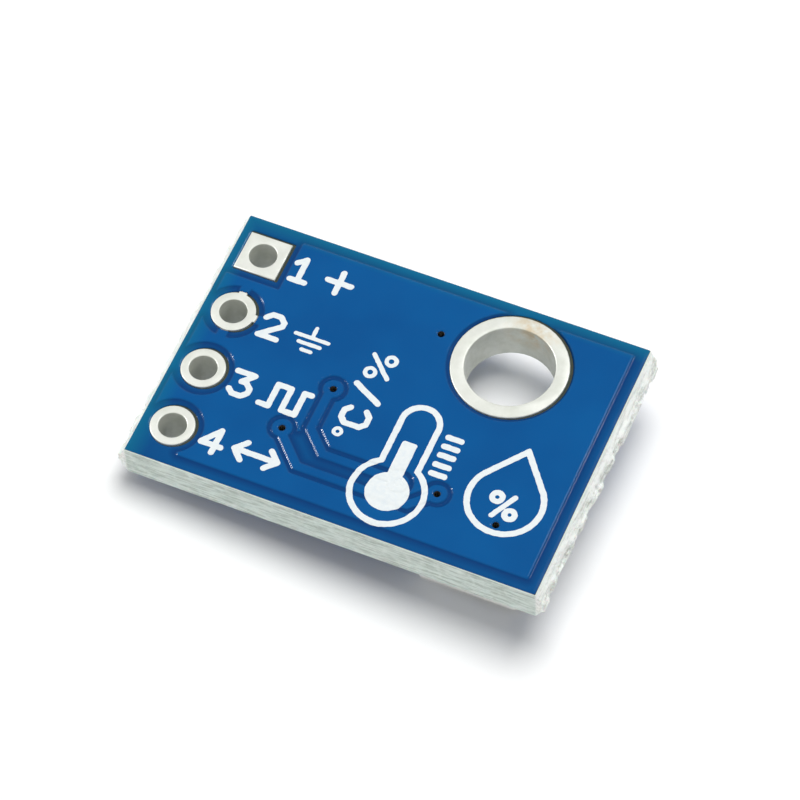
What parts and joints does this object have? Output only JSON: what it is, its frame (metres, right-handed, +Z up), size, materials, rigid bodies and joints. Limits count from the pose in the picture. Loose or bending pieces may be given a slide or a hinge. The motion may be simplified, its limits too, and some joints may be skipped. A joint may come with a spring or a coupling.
{
  "type": "temperature humidity sensor module",
  "caption": "Small blue sensor board with a row of plated header holes, a ringed screw hole, printed thermometer and drop signs, and its parts soldered underneath.",
  "frame": {"origin": "under the middle of the board, level with the lowest face of the sensor's cap", "axes": "+Z up through the label side, +X along the board away from the header row, +Y to the back"},
  "size_m": [0.016, 0.0106, 0.0032],
  "materials": {
    "fibreglass_edge": "sawn and snapped glass fibre in resin, satin",
    "tinned_copper": "tinned copper foil",
    "blue_lacquer": "blue solder mask, semi-gloss",
    "tin_plate": "levelled tin, soft shine",
    "sensor_substrate": "dark laminate",
    "gold_plate": "thin gold over nickel",
    "white_moulding": "white moulded cap",
    "silicon": "polished silicon",
    "solder": "reflowed solder",
    "black_moulding": "black epoxy moulding",
    "tinned_lead": "matte tin over copper alloy",
    "resistor_ceramic": "white ceramic with a dark glass coat",
    "capacitor_ceramic": "fired tan ceramic"
  },
  "bodies": {
    "root": {"bottom_ground_pour": "tinned_copper", "capacitor_cores": "capacitor_ceramic", "capacitor_solder": "solder", "capacitor_terminals": "tinned_lead", "header_clock_track": "tinned_copper", "header_data_track": "tinned_copper", "laminate": "fibreglass_edge", "pin_barrel_1": "tin_plate", "pin_barrel_2": "tin_plate", "pin_barrel_3": "tin_plate", "pin_barrel_4": "tin_plate", "readout_chip": "silicon", "regulated_track": "tinned_copper", "regulator_body": "black_moulding", "regulator_leads": "tinned_lead", "regulator_solder": "solder", "resistor_cores": "resistor_ceramic", "resistor_solder": "solder", "resistor_terminals": "tinned_lead", "screw_barrel": "tin_plate", "sensing_chip": "silicon", "sensor_base": "sensor_substrate", "sensor_cap": "white_moulding", "sensor_clock_track": "tinned_copper", "sensor_data_track": "tinned_copper", "sensor_solder": "solder", "sensor_terminals": "gold_plate", "shifter_body": "black_moulding", "shifter_leads": "tinned_lead", "shifter_solder": "solder", "solder_mask_bottom": "blue_lacquer", "solder_mask_top": "blue_lacquer", "spare_lands": "tinned_copper", "supply_track": "tinned_copper", "top_clock_track": "tinned_copper", "top_data_track": "tinned_copper", "top_ground_pour": "tinned_copper", "via_barrels": "tinned_copper"}
  },
  "joints": []
}
